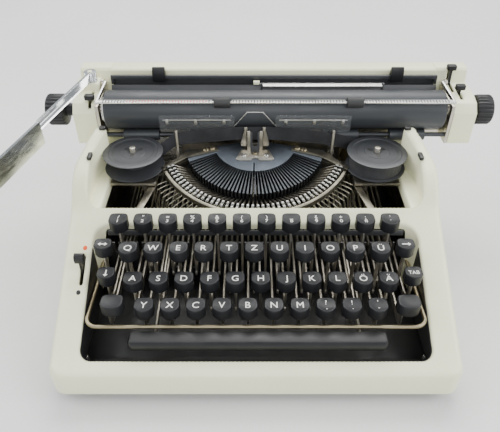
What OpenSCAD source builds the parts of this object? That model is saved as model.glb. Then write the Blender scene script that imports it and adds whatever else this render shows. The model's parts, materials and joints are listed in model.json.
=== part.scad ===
// Portable typebar typewriter with its ribbon cover off, standing on its own rubber feet.
// Working axes: x = 0 is the printing plane, y = 0 the casing's front edge, z = 0 the table.

/* [Casing] */
// Half of the casing's width
case_half = 149; // [146:0.5:150]
// Length of the casing from front to back
case_len = 270; // [268:1:274]
// Thickness of the painted sheet
sheet = 2.5; // [2:0.1:2.8]
// Height of the casing's lower edge above the table
case_base = 10; // [9.5:0.5:10]
// Half-width of the keyboard opening
keyboard_half = 128; // [127.8:0.1:129]

/* [Keyboard] */
// Distance between neighbouring keys
key_pitch = 19.05; // [19:0.01:19.1]
// Width of a key cap
cap_w = 14.6; // [13.5:0.1:14.8]
// Depth of a key cap from front to back
cap_d = 14; // [13:0.1:14]
// Height of a key cap
cap_h = 9.5; // [8:0.5:9.5]
// Thickness of a key lever
lever_t = 1.5; // [1:0.1:1.6]

/* [Typebars] */
// Number of typebars, one for each typing key
bar_count = 44; // [44]
// Angle between neighbouring typebars in degrees
bar_pitch = 3.0; // [2.9:0.05:3.05]
// Thickness of a typebar
bar_t = 0.8; // [0.6:0.1:0.9]
// Width of the slots in the segment
slot_w = 1.1; // [1.1:0.05:1.2]
// Forward tilt of the type basket in degrees
basket_tilt = 13; // [12.5:0.5:13.5]

/* [Carriage] */
// Place of the carriage's middle to the right of the printing plane
carriage_x = 17.5; // [16:0.5:18]
// Radius of the platen
platen_r = 17; // [16.5:0.1:17]
// Length of the platen's rubber
platen_len = 300; // [290:1:300]
// Radius of the left platen knob
left_knob_r = 14; // [12:0.5:14.5]
// Radius of the right platen knob
right_knob_r = 13.2; // [12:0.1:14]

/* [Ribbon] */
// Radius of the ribbon spools
spool_r = 25.8; // [24:0.1:26]
// Distance of each spool from the printing plane
spool_x = 105.5; // [105:0.1:106]
// Width of the inked ribbon
ribbon_w = 13; // [12.7:0.1:13]

/* [Hidden] */
$fn = 48;

// Middle of the finished machine's own box, which becomes the origin
knob_left_end = carriage_x - 202;
knob_right_end = carriage_x + 193;
centre_x = (knob_left_end + knob_right_end) / 2;
centre_y = case_len / 2;

// Painted steel, plastic and metal colours
cream = [0.86, 0.85, 0.76];
slate = [0.22, 0.25, 0.27];
charcoal = [0.16, 0.16, 0.17];
black = [0.06, 0.06, 0.06];
nickel = [0.66, 0.65, 0.60];
steel = [0.58, 0.61, 0.66];
brass = [0.72, 0.60, 0.36];
rubber = [0.13, 0.15, 0.16];

// Key rows: [y of the cap's middle, z of its top, x of the first cap, number of keys]
number_row = [97.5, 95, -105.9, 12];
upper_row = [77, 84, -96.4, 11];
home_row = [59, 70, -91.6, 11];
lower_row = [41.7, 60, -82.1, 10];
centre_key_index = 5;           // the home-row key that stands alone with its own typebar
centre_bar = 21;                // that typebar's place in the fan

// The axle that every key lever turns on
axle_y = 228;
axle_z = 44;
axle_r = 1.5;
running = 0.06;                 // radial play of a shaft in its hole
lever_front_z = 38;
lever_h = 7;

// Platen, bail and feed roller axes
platen_y = 215;
platen_z = 125;
shaft_r = 4;
bail_y = 199.2;
bail_z = 140;
bail_pivot_y = 237;
bail_pivot_z = 140;
feed_y = 206;
feed_z = 104.4;
feed_r = 5;
small_shaft_r = 2;
plate_x = 155;                  // inner face of each carriage side plate
plate_t = 2.5;
cover_in = 158;                 // inner face of each end cover
cover_out = 178;

// Typebars in their own radial plane: distance out from the striking axis, then height
print_point = [0, 198, 125];
pivot = [32, -42];
elbow = [45.9, -52];
head = [78, -24.5];
eye_r = 2.5;
wire_r = 0.8;
bar_w = 2.6;
slug_w = 3.2;
segment_r = 64;
segment_top = -26;
segment_bottom = -48;
segment_screw_at = [for (a = [-73, 73], r = [40, 46]) [r * cos(a - 90), r * sin(a - 90)]];

spool_y = 175;
spool_z = 91;
spool_h = 15;
spindle_r = 2.5;
ribbon_t = 0.4;
post_x = 69;
post_y = 190.6;
post_r = 1.2;

selector_x = -133;              // colour selector: its lane, then its pivot as (y, z)
selector_pivot = [73, 40];
support_hinge = [237.2, 138.9];
return_pivot = [-165.5, 235];
lever_bracket_top = 143;
bracket_z = 83;                 // underside of the spool brackets

// ---- helpers ----

// A side view, drawn as (y, z), made into a plate from x0 to x1
module across(x0, x1) {
    translate([x0, 0, 0]) rotate([90, 0, 90]) linear_extrude(x1 - x0) children();
}

// A flat bar with round ends from p to q
module limb(p, q, w) {
    d = q - p;
    translate(p) rotate(atan2(d[1], d[0])) translate([0, -w / 2]) square([norm(d), w]);
    for (end = [p, q]) translate(end) circle(w * 0.48);
}

// A rod along x
module rod(x0, x1, y, z, r) {
    translate([x0, y, z]) rotate([0, 90, 0]) cylinder(r = r, h = x1 - x0);
}

// A rectangle with round corners
module round_rect(x0, y0, x1, y1, r) {
    translate([x0 + r, y0]) square([x1 - x0 - 2 * r, y1 - y0]);
    translate([x0, y0 + r]) square([x1 - x0, y1 - y0 - 2 * r]);
    for (x = [x0 + r, x1 - r], y = [y0 + r, y1 - r]) translate([x, y]) circle(r);
}

// Both sides of something that is drawn on the right
module both() {
    children();
    mirror([1, 0, 0]) children();
}

// The type basket's frame: origin at the printing point, z along the striking axis
module basket() {
    translate(print_point) rotate([basket_tilt, 0, 0]) children();
}

// One typebar's radial plane, turned to its place in the fan and t thick
module bar_plane(angle, t) {
    rotate([0, 0, angle - 90]) rotate([90, 0, 0]) linear_extrude(t, center = true) children();
}

function bar_angle(i) = (i - (bar_count - 1) / 2) * bar_pitch;
function polar(r, a) = [r * cos(a - 90), r * sin(a - 90)];

module on_carriage() {
    translate([carriage_x, 0, 0]) children();
}

// ---- base and casing ----

module base_pan() {
    color(black) difference() {
        translate([-144, 14.6, case_base]) cube([288, 249, 12]);
        translate([-142, 16.6, case_base + 2.5]) cube([284, 245, 12]);
        for (x = [-130, 130], y = [30, 248])
            translate([x, y, case_base - 1]) cylinder(r = 2.1, h = 5);
    }
}

module rubber_feet() {
    color(rubber) for (x = [-130, 130], y = [30, 248]) translate([x, y, 0]) difference() {
        cylinder(r = 9, h = case_base);
        translate([0, 0, -1]) cylinder(r = 5, h = 4);
        cylinder(r = 2.1, h = case_base + 1);
    }
}

// Screws that hold the feet to the pan and the casing to the frame
module case_screws() {
    color(steel) for (x = [-130, 130], y = [30, 248]) translate([x, y, 0]) {
        translate([0, 0, 1.2]) cylinder(r = 4, h = 1.8);
        translate([0, 0, 2.9]) cylinder(r = 2, h = 12);
    }
    color(steel) for (s = [-1, 1], y = [60, 240])
        translate([s * 138, y, 30]) rotate([0, s * 90, 0]) {
            cylinder(r = 2, h = case_half - 138);
            translate([0, 0, case_half - 138]) cylinder(r = 4, h = 1.6);
        }
}

// Side view of the casing's outline, drawn inwards by t
module case_side(t) {
    drop = t * 1.15;
    polygon([
        [t, case_base - (t > 0 ? 1 : 0)], [t, 26 - t], [3, 30 - drop], [12, 33 - drop],
        [59, 57 - drop], [106, 82 - drop], [119, 89 - drop], [128, 99.5 - drop],
        [138, 107.5 - drop], [166, 115.5 - drop], [182, 121 - drop], [190 - t, 122 - drop],
        [190 - t, 88 - t], [case_len - 6 - t, 88 - t], [case_len - t, 82 - t],
        [case_len - t, case_base - (t > 0 ? 1 : 0)]
    ]);
}

// Plan of the casing's outline: the arms beside the type basket close in towards the back
module case_plan(t) {
    w = case_half - t;
    intersection() {
        round_rect(-w, t, w, 320, 12 - t);
        polygon([
            [-w, -1], [w, -1], [w, 150], [w - 2, 163], [w - 6, 175], [w - 11, 190],
            [w - 11, 320], [11 - w, 320], [11 - w, 190], [6 - w, 175], [2 - w, 163], [-w, 150]
        ]);
    }
}

// Plan of the lower body, which stays wide all the way back
module body_plan(t) {
    round_rect(t - case_half, t, case_half - t, case_len - t, 12 - t);
}

module case_solid(t) {
    intersection() {
        across(-case_half, case_half) case_side(t);
        union() {
            translate([0, 0, -5]) linear_extrude(93 - t) body_plan(t);
            linear_extrude(140) case_plan(t);
        }
    }
}

module keyboard_plan(grow) {
    round_rect(-keyboard_half - grow, 12 - grow, keyboard_half + grow, 106 + grow, 12 + grow);
}

module basket_plan(grow) {
    polygon([
        [-134 - grow, 119 - grow], [134 + grow, 119 - grow], [138 + grow, 150],
        [137 + grow, 163], [133 + grow, 175], [128 + grow, 190.5], [125 + grow, 190.5],
        [125 + grow, 262], [-125 - grow, 262], [-125 - grow, 190.5], [-128 - grow, 190.5],
        [-133 - grow, 175], [-137 - grow, 163], [-138 - grow, 150]
    ]);
}

module casing() {
    color(cream) difference() {
        union() {
            difference() {
                case_solid(0);
                case_solid(sheet);
            }
            // the turned-down rims of the two openings
            intersection() {
                case_solid(0);
                union() {
                    translate([0, 0, 22.6]) linear_extrude(90) difference() {
                        keyboard_plan(sheet - 0.5);
                        translate([-keyboard_half, 90]) square([2 * keyboard_half, 40]);
                    }
                    translate([0, 0, 88]) linear_extrude(60) basket_plan(sheet - 0.5);
                    translate([-keyboard_half, 100, 76]) cube([2 * keyboard_half, 8, 14]);
                }
            }
        }
        translate([0, 0, case_base - 1]) linear_extrude(100) keyboard_plan(0);
        translate([0, 0, 60]) linear_extrude(90) basket_plan(0);
        translate([selector_x - 1.6, 62, 50]) cube([3.2, 22, 30]);
        for (s = [-1, 1], y = [60, 240])
            translate([s * (case_half - 4), y, 30]) rotate([0, s * 90, 0]) cylinder(r = 2.1, h = 6);
    }
}

// ---- frame inside the casing ----

module chassis() {
    color(nickel) difference() {
        union() {
            both() across(138, 140.5) polygon([
                [30, 12.5], [258.5, 12.5], [258.5, 83], [126, 83], [106, 75], [59, 50], [30, 35]
            ]);
            rod(-138, -131.5, selector_pivot[0], selector_pivot[1], 2);
            translate([-138, 256, 12.5]) cube([276, 2.5, 71.5]);
            both() translate([120, 215, 12.5]) cube([2.5, 41, 75.5]);
        }
        rod(-130, 130, axle_y, axle_z, axle_r);
        for (x = [30, -95]) translate([x, 250, 64]) rotate([-90, 0, 0]) cylinder(r = 2 + running, h = 12);
        for (x = [-145, 135], y = [60, 240]) rod(x, x + 10, y, 30, 2.1);
    }
}

module carriage_rail() {
    color(steel) difference() {
        translate([-140, 228, 88]) cube([280, 12, 8]);
        for (y = [227, 238]) translate([-141, y, 91]) cube([282, 3, 2]);
    }
}

module key_lever_axle() {
    color(steel) rod(-122.5, 122.5, axle_y, axle_z, axle_r);
}

// Bent rod that frames the key levers, with the comb that guides them
module keyboard_frame() {
    y0 = 32.5;
    x0 = 125.5;
    bend = 9;
    color(brass) translate([0, 0, 46]) {
        rod(bend - x0, x0 - bend, y0, 0, 1.5);
        both() {
            translate([x0, y0 + bend, 0]) rotate([-90, 0, 0]) cylinder(r = 1.5, h = 112 - y0 - bend);
            translate([x0 - bend, y0 + bend, 0]) rotate([0, 0, -90])
                rotate_extrude(angle = 90) translate([bend, 0]) circle(1.5);
        }
    }
    lever_comb();
}

function row_x(row) = [for (i = [0:row[3] - 1]) row[2] + i * key_pitch];
special_x = [-115.7, -111.9, -108.9, 108.5, 113.5, 117.9];
space_x = [-74.95, 77.45];
all_lever_x = concat(row_x(number_row), row_x(upper_row), row_x(home_row), row_x(lower_row),
    special_x, space_x);

module lever_comb() {
    color(nickel) difference() {
        translate([-137.8, 112, 12.5]) cube([275.6, 2, 44]);
        for (x = all_lever_x) translate([x - 1.35, 111, 28]) cube([2.7, 4, 22]);
    }
}

module bell() {
    color(brass) translate([100, 236, 62]) rotate([-90, 0, 0]) difference() {
        rotate_extrude() difference() {
            intersection() {
                circle(16);
                square([16, 16]);
            }
            circle(14.5);
        }
        translate([0, 0, 10]) cylinder(r = 1.5, h = 8);
    }
    color(steel) translate([100, 236, 62]) rotate([-90, 0, 0]) cylinder(r = 1.5, h = 20);
}

// A toothed wheel on a short arbor that runs in the chassis' rear plate
module arbor_wheel(x, r, t, teeth) {
    translate([x, 250 - t, 64]) rotate([-90, 0, 0]) {
        difference() {
            cylinder(r = r, h = t);
            for (i = [0:teeth - 1]) rotate(i * 360 / teeth) translate([r, 0, -1])
                cylinder(r = 1.1, h = t + 2);
        }
        cylinder(r = 2, h = t + 8.5);
    }
}

module escapement_wheel() {
    color(brass) arbor_wheel(30, 14, 2.5, 24);
}

module spring_drum() {
    color(steel) arbor_wheel(-95, 19, 12, 0);
}

// ---- ribbon ----

module spool_brackets() {
    color(nickel) both() {
        difference() {
            translate([0, 0, bracket_z]) linear_extrude(2.4) {
                translate([86, 156]) square([54.4, 14]);
                translate([86, 156]) square([44, 40]);
                limb([post_x, post_y], [90, 186], 6);
                limb([post_x, post_y], [post_x, 197], 6);
            }
            translate([spool_x, spool_y, 80]) cylinder(r = spindle_r, h = 10);
        }
        translate([spool_x, spool_y, bracket_z]) cylinder(r = spindle_r, h = 110 - bracket_z);
        translate([spool_x, spool_y, bracket_z + 2.4]) cylinder(r = 6, h = 5.3);
        translate([post_x, post_y, bracket_z + 2.4]) cylinder(r = post_r, h = 32.1);
        translate([0, 0, 78]) linear_extrude(5) limb([100, 170], [96, 158], 4);
    }
}

module spool_body(hub) {
    difference() {
        union() {
            cylinder(r = spool_r, h = 0.8);
            cylinder(r = hub, h = spool_h);
            translate([0, 0, spool_h - 0.8]) cylinder(r = spool_r, h = 0.8);
        }
        translate([0, 0, -1]) cylinder(r = spindle_r + running, h = spool_h + 2);
        for (a = [30, 150, 270]) rotate(a) translate([6, -1.2, -1]) cube([4, 2.4, spool_h + 2]);
    }
}

module left_spool() {
    color(slate) translate([-spool_x, spool_y, spool_z]) spool_body(9);
}

module right_spool() {
    color(slate) translate([spool_x, spool_y, spool_z]) spool_body(22);
}

// A short stretch of ribbon that twists from one upright edge to the next
module ribbon_stretch(a, b) {
    hull() for (p = [a, b]) translate(p) translate([-0.1, -ribbon_t / 2, 0]) cube([0.2, ribbon_t, ribbon_w]);
}

module ribbon() {
    post = [post_x, post_y + post_r + 0.5, 101];
    middle = [15, 195.2, 105.5];
    path = [
        [-99, 185.6, 92], [-83, 189.2, 92], [-post[0], post[1], post[2]],
        [-middle[0], middle[1], middle[2]], middle, post, [90.8, 196.6, 92], [97, 197.8, 92]
    ];
    color(black) for (i = [0:len(path) - 2]) ribbon_stretch(path[i], path[i + 1]);
}

// Lifts the ribbon in front of the printing point as a key is struck
module ribbon_vibrator() {
    color(nickel) {
        both() translate([6.5, 193.2, 99.8]) cube([6, 1, 19.4]);
        translate([-12.5, 193.2, 99.8]) cube([25, 5, 2.6]);
        translate([-2.5, 196.6, 62]) cube([5, 1.6, 38]);
    }
}

module ribbon_selector() {
    color(black) difference() {
        union() {
            across(selector_x - 0.9, selector_x + 0.9) {
                translate(selector_pivot) circle(4);
                limb(selector_pivot, [73, 76], 4);
            }
            across(selector_x - 3.5, selector_x + 3.5) limb([73, 74.7], [73, 77.7], 6);
        }
        rod(-140, -130, selector_pivot[0], selector_pivot[1], 2 + running);
    }
}

// Clear plastic line guides and the wire between them
module line_guides() {
    color([0.8, 0.85, 0.85, 0.5]) both() {
        translate([18, 196, 113]) cube([66, 0.8, 16]);
        translate([66, 196, bracket_z + 2.4]) cube([6, 0.8, 27.7]);
    }
    color(nickel) both() translate([0, 196.4, 0]) rotate([90, 0, 0]) linear_extrude(0.8, center = true) {
        limb([18.5, 118], [7, 132], 0.9);
    }
    color(nickel) rod(-7, 7, 196.4, 132, 0.45);
}

// ---- type basket ----

// Plan of the slotted half ring that guides the typebars
module segment_plan() {
    difference() {
        circle(segment_r);
        circle(14);
        translate([-70, 0]) square([140, 70]);
        for (s = [-1, 1]) rotate(s * 78) translate([s > 0 ? 0 : -70, -70]) square([70, 140]);
        for (i = [0:bar_count - 1]) rotate(bar_angle(i)) translate([-slot_w / 2, -66]) square([slot_w, 38]);
        for (p = segment_screw_at) translate(p) circle(1.3);
    }
}

module segment() {
    color(steel) basket() translate([0, 0, segment_bottom])
        linear_extrude(segment_top - segment_bottom) segment_plan();
}

module segment_screws() {
    color(brass) basket() for (p = segment_screw_at) translate(p) {
        translate([0, 0, -38]) cylinder(r = 1.3, h = 12);
        translate([0, 0, segment_top]) cylinder(r = 2.6, h = 1.4);
    }
}

module fulcrum_wire() {
    color(steel) basket() translate([0, 0, pivot[1]]) rotate([0, 0, -90 - 70])
        rotate_extrude(angle = 140) translate([pivot[0], 0]) circle(wire_r);
}

module one_typebar(angle) {
    bar_plane(angle, bar_t) difference() {
        union() {
            limb(pivot, elbow, bar_w);
            limb(elbow, head, bar_w);
            translate(pivot) circle(eye_r);
        }
        translate(pivot) circle(wire_r + running);
    }
    bar_plane(angle, slug_w) translate([77, -26]) square([8.5, 4.2]);
}

module typebars() {
    color(nickel) basket() for (i = [0:bar_count - 1]) if (i != centre_bar) one_typebar(bar_angle(i));
    type_links();
}

module centre_typebar() {
    color(nickel) basket() one_typebar(bar_angle(centre_bar));
}

// Pull wires hanging below the typebars
module type_links() {
    low = 54;
    color(steel) for (i = [0:bar_count - 1]) if (i != centre_bar) {
        p = polar(elbow[0], bar_angle(i));
        w = elbow[1] - bar_w / 2 - 0.1;
        y = print_point[1] + p[1] * cos(basket_tilt) - w * sin(basket_tilt);
        z = print_point[2] + p[1] * sin(basket_tilt) + w * cos(basket_tilt);
        translate([p[0], y, low]) cylinder(r = 0.45, h = z - low);
    }
}

module type_rest() {
    color(nickel) basket() {
        translate([0, 0, -28]) rotate([0, 0, -90 - 62]) rotate_extrude(angle = 124)
            translate([86.5, 0]) square([2.5, 5.5]);
        both() difference() {
            translate([0, 0, -34]) linear_extrude(6) {
                limb(polar(62, 70), polar(79, 68.5), 2);
                limb(polar(79, 68.5), polar(87.7, 61.5), 2);
            }
            translate([0, 0, -50]) cylinder(r = segment_r, h = 40);
        }
    }
}

module type_guide() {
    color(nickel) {
        basket() difference() {
            translate([-17, -26, segment_top]) cube([34, 13, 1.2]);
            for (x = [-10, 10]) translate([x, -21, segment_top - 1]) cylinder(r = 1.3, h = 4);
        }
        translate([0, 188.6, 0]) rotate([90, 0, 0]) linear_extrude(1.4, center = true) difference() {
            translate([-7, 96.6]) square([14, 21.6]);
            translate([-2.3, 103]) square([4.6, 20]);
        }
    }
}

// ---- keyboard ----

module cap_plan(w, d) {
    translate([-w / 2 + 1.5, 0]) square([w - 3, d / 2]);
    translate([-w / 2, -1]) square([w, d / 2 - 0.5]);
    for (s = [-1, 1]) translate([s * (w / 2 - 1.5), d / 2 - 1.5]) circle(1.5);
    translate([0, w / 2 - d / 2]) circle(w / 2);
}

module one_cap(x, y, top, w = cap_w, d = cap_d) {
    color(charcoal) translate([x, y, top - cap_h]) linear_extrude(cap_h) cap_plan(w, d);
}

// Lever from a cap back to the common axle
module one_lever(x, y, top, front_z = lever_front_z) {
    color(nickel) across(x - lever_t / 2, x + lever_t / 2) difference() {
        union() {
            limb([y, front_z], [axle_y, axle_z], lever_h);
            translate([y - 2.5, front_z]) square([5, top - cap_h - front_z]);
        }
        translate([axle_y, axle_z]) circle(axle_r + running);
    }
}

module row_caps(row, skip = -1) {
    for (i = [0:row[3] - 1]) if (i != skip) one_cap(row[2] + i * key_pitch, row[0], row[1]);
}

module row_levers(row, skip = -1) {
    for (i = [0:row[3] - 1]) if (i != skip) one_lever(row[2] + i * key_pitch, row[0], row[1]);
}

module number_caps() { row_caps(number_row); }
module number_levers() { row_levers(number_row); }
module upper_caps() { row_caps(upper_row); }
module upper_levers() { row_levers(upper_row); }
module home_caps() { row_caps(home_row, centre_key_index); }
module home_levers() { row_levers(home_row, centre_key_index); }
module lower_caps() { row_caps(lower_row); }
module lower_levers() { row_levers(lower_row); }

module centre_key() {
    x = home_row[2] + centre_key_index * key_pitch;
    one_cap(x, home_row[0], home_row[1]);
    one_lever(x, home_row[0], home_row[1]);
}

module round_key(x, y, top) {
    color(charcoal) translate([x, y, top - cap_h]) cylinder(r = 6, h = cap_h);
    one_lever(x, y, top);
}

module margin_release_key() { round_key(special_x[0], 80, 85); }
module shift_lock_key() { round_key(special_x[1], 62.5, 72); }
module backspace_key() { round_key(special_x[4], 80, 85); }
module tabulator_key() { round_key(special_x[5], 63, 72); }

module shift_keys() {
    y = 43.1;
    top = 62;
    color(charcoal) for (x = [-105.5, 112]) translate([x, y, top - cap_h]) linear_extrude(cap_h)
        round_rect(-8, -6.8, 8, 6.8, 4);
    one_lever(special_x[2], y, top);
    one_lever(special_x[3], y, top);
}

module space_bar() {
    color(charcoal) difference() {
        translate([-93, 17, 38]) cube([189, 12.8, 8]);
        translate([97, 17, 46]) rotate([0, 60, 0]) cube([12, 30, 6], center = true);
    }
    for (x = space_x) one_lever(x, 24, 42 + cap_h, 34.5);
}

// ---- carriage ----

module carriage_frame() {
    color(nickel) on_carriage() {
        difference() {
            both() translate([plate_x, 203, 97]) cube([plate_t, 41, 37]);
            rod(-170, 170, platen_y, platen_z, shaft_r + running);
            rod(-170, 170, feed_y, feed_z, small_shaft_r + running);
        }
        both() difference() {
            across(plate_x, plate_x + plate_t) limb([bail_pivot_y, 130], [bail_pivot_y, bail_pivot_z], 7);
            rod(150, 160, bail_pivot_y, bail_pivot_z, small_shaft_r + running);
            translate([150, 203, 97]) cube([10, 41, 37]);
        }
        translate([-plate_x, 222, 97]) cube([2 * plate_x, 22, 3]);
        rod(-167, -plate_x - 1, 225.5, 112, small_shaft_r);
        rod(plate_x + 1, 168, 241, 112, small_shaft_r);
        rod(plate_x + 1, 168, 228, 112, small_shaft_r);
    }
}

// Side view of an end cover, drawn inwards by t
module cover_side(t) {
    polygon([
        [203 + t, 97 + t], [203 + t, 127], [209 + t / 2, 134 - t / 2], [217, 136 - t],
        [246.5 + t, 137.5 - t], [248 + t, 147 - t / 2], [250 + t / 2, 149 - t],
        [262 - t / 2, 149 - t], [268 - t, 143], [268 - t, 97 + t]
    ]);
}

// End cover on the right; slots is a list of [x, y from, y to] in its top
module end_cover(slots) {
    difference() {
        union() {
            across(cover_in, cover_out) cover_side(0);
            intersection() {
                across(149.5, cover_in) cover_side(0);
                translate([149.5, 246, 90]) cube([10, 30, 60]);
            }
        }
        across(cover_in - 1, cover_out - 2) cover_side(2);
        intersection() {
            across(149, cover_out - 2) cover_side(2);
            translate([149, 248, 90]) cube([30, 30, 60]);
        }
        rod(cover_in, cover_out + 1, platen_y, platen_z, shaft_r + 0.5);
        for (s = slots) translate([s[0], s[1], 130]) cube([3, s[2] - s[1], 22]);
    }
}

module left_end_cover() {
    color(cream) on_carriage() mirror([1, 0, 0]) {
        end_cover([[161.5, 204.5, 227.5]]);
        translate([158, 228, 134.5]) cube([20, 14, lever_bracket_top - 134.5]);
        translate([-return_pivot[0], return_pivot[1], 134.5]) cylinder(r = 2, h = 18);
    }
}

module right_end_cover() {
    color(cream) on_carriage() end_cover([[160, 226, 252], [164.5, 214, 236]]);
}

module rear_cover() {
    color(cream) on_carriage() across(-149.5, 149.5) difference() {
        polygon([
            [247, 133], [247, 147.5], [249, 149], [262, 149], [268, 143],
            [268, 97], [252, 97], [252, 99]
        ]);
        polygon([
            [245, 133], [249, 133], [249, 146.6], [250, 147], [261.2, 147], [266, 142.2],
            [266, 99], [245, 99]
        ]);
    }
}

module paper_table() {
    color(slate) on_carriage() {
        across(-149, 149) {
            limb([234.5, 129], [239, 136.6], 1.4);
            limb([234.5, 129], [234.5, 106], 1.4);
        }
        for (x = [-12.2, 98.5]) across(x, x + 1.7) difference() {
            limb(support_hinge, [236.6, 134], 2.6);
            translate(support_hinge) circle(0.8 + running);
        }
    }
}

module paper_support() {
    color(nickel) on_carriage() {
        translate([-10, 231.6, support_hinge[1] - 0.5]) cube([108, 5.6, 1]);
        rod(-12.6, 100.6, support_hinge[0], support_hinge[1], 0.8);
    }
}

module margin_rail() {
    color(steel) on_carriage() translate([-149.5, 241, 141.5]) difference() {
        cube([299, 2.5, 3.5]);
        for (i = [1:29]) translate([i * 10 - 0.75, -1, -1]) cube([1.5, 5, 1.9]);
    }
    color(steel) on_carriage() for (x = [-149.5, 147.5]) translate([x, 241, 136.8]) cube([2, 5, 5]);
}

module margin_stop(x) {
    color(black) on_carriage() translate([x, 0, 0]) difference() {
        across(-5.7, 5.7) polygon([
            [238.6, 139.8], [246, 139.8], [246, 147], [243, 153], [240.5, 153], [238.6, 147]
        ]);
        translate([-10, 240.6, 141.1]) cube([20, 3.3, 4.3]);
    }
}

module left_margin_stop() { margin_stop(-105); }
module right_margin_stop() { margin_stop(112); }

module platen() {
    color(rubber) on_carriage() difference() {
        rod(-platen_len / 2, platen_len / 2, platen_y, platen_z, platen_r);
        rod(-platen_len, platen_len, platen_y, platen_z, shaft_r);
    }
}

module platen_shaft() {
    color(steel) on_carriage() difference() {
        union() {
            rod(-190, 182, platen_y, platen_z, shaft_r);
            rod(-153.4, -150.2, platen_y, platen_z, 11);
        }
        for (i = [0:29]) translate([-152, platen_y, platen_z]) rotate([i * 12, 0, 0])
            translate([0, 11.3, 0]) rotate([0, 90, 0]) cylinder(r = 0.9, h = 6, center = true);
    }
}

module knob(x0, x1, r, hub0, hub1) {
    color(black) on_carriage() difference() {
        union() {
            rod(x0, x1, platen_y, platen_z, r);
            rod(hub0, hub1, platen_y, platen_z, 5.5);
        }
        rod(-190, 182, platen_y, platen_z, shaft_r + 0.02);
        for (i = [0:23]) translate([(x0 + x1) / 2, platen_y, platen_z]) rotate([i * 15, 0, 0])
            translate([0, r + 0.3, 0]) rotate([0, 90, 0]) cylinder(r = 0.9, h = 12, center = true);
    }
}

module left_knob() { knob(-202, -186, left_knob_r, -186, -179); }
module right_knob() { knob(179, 193, right_knob_r, 178.6, 179.5); }

module feed_roller() {
    on_carriage() {
        color(steel) rod(-157, 157, feed_y, feed_z, small_shaft_r);
        color(rubber) for (x = [-120, -60, 0, 60, 120]) rod(x - 16, x + 16, feed_y, feed_z, feed_r);
    }
}

bail_roller_x = [-46, 68.5];

module paper_bail() {
    color(steel) on_carriage() {
        rod(-154.6, 154.6, bail_y, bail_z, 1.2);
        difference() {
            translate([-154.6, bail_y - 3.2, bail_z + 0.6]) cube([309.2, 5.4, 1]);
            for (x = bail_roller_x) translate([x - 8.5, bail_y - 6, bail_z - 4]) cube([17, 12, 10]);
        }
        both() across(153, 154.6) limb([bail_y, bail_z], [bail_pivot_y, bail_pivot_z], 3.4);
        both() rod(153, 157.5, bail_pivot_y, bail_pivot_z, small_shaft_r);
    }
}

module bail_rollers() {
    color(rubber) on_carriage() for (x = bail_roller_x) difference() {
        rod(x - 7, x + 7, bail_y, bail_z, 4.4);
        rod(x - 8, x + 8, bail_y, bail_z, 1.2 + running);
    }
}

module return_lever() {
    tip = [-34, -148];
    start = [0, -3];
    mid = [-20, -88];
    color(steel) on_carriage() translate([return_pivot[0], return_pivot[1], 0]) difference() {
        union() {
            translate([0, 0, lever_bracket_top + 0.4]) cylinder(r = 5.5, h = 8.6);
            translate([0, 0, 144.4]) linear_extrude(7.6) limb(start, mid, 2.4);
            translate([0, 0, 132]) linear_extrude(19) limb(mid, tip, 2.4);
        }
        translate([0, 0, 140]) cylinder(r = 2 + running, h = 20);
    }
}

// A small hand lever on the end of the carriage, drawn from its pivot to its tip
module hand_lever(x0, x1, p, bend, tip) {
    color(black) on_carriage() difference() {
        across(x0, x1) {
            limb(p, bend, 4);
            limb(bend, tip, 3.4);
            translate(p) circle(4.5);
        }
        rod(x0 - 1, x1 + 1, p[0], p[1], small_shaft_r + running);
    }
}

module line_space_lever() { hand_lever(-164, -162, [225.5, 112], [224, 130], [211, 139.5]); }
module paper_release_lever() { hand_lever(160.5, 162.5, [241, 112], [243, 134], [244, 152]); }
module carriage_release_lever() { hand_lever(165, 167, [228, 112], [228, 128], [224, 143]); }

// ---- the nodes, with the origin under the middle of the machine ----

module place() {
    translate([-centre_x, -centre_y, 0]) children();
}

place() base_pan();
place() rubber_feet();
place() casing();
place() case_screws();
place() chassis();
place() carriage_rail();
place() key_lever_axle();
place() keyboard_frame();
place() spool_brackets();
place() ribbon();
place() ribbon_vibrator();
place() ribbon_selector();
place() line_guides();
place() bell();
place() escapement_wheel();
place() spring_drum();
place() segment();
place() segment_screws();
place() fulcrum_wire();
place() typebars();
place() type_rest();
place() type_guide();
place() centre_typebar();
place() number_caps();
place() number_levers();
place() upper_caps();
place() upper_levers();
place() home_caps();
place() home_levers();
place() lower_caps();
place() lower_levers();
place() centre_key();
place() space_bar();
place() shift_keys();
place() shift_lock_key();
place() backspace_key();
place() tabulator_key();
place() margin_release_key();
place() carriage_frame();
place() left_end_cover();
place() right_end_cover();
place() rear_cover();
place() paper_table();
place() paper_support();
place() margin_rail();
place() left_margin_stop();
place() right_margin_stop();
place() platen();
place() platen_shaft();
place() left_knob();
place() right_knob();
place() feed_roller();
place() paper_bail();
place() bail_rollers();
place() return_lever();
place() line_space_lever();
place() paper_release_lever();
place() carriage_release_lever();
place() left_spool();
place() right_spool();
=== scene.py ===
"""Looks of the portable typewriter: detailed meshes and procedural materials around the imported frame."""
import json
import math

import bmesh
import bpy
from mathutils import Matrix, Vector
from mathutils.geometry import delaunay_2d_cdt
from mathutils.kdtree import KDTree


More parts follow.
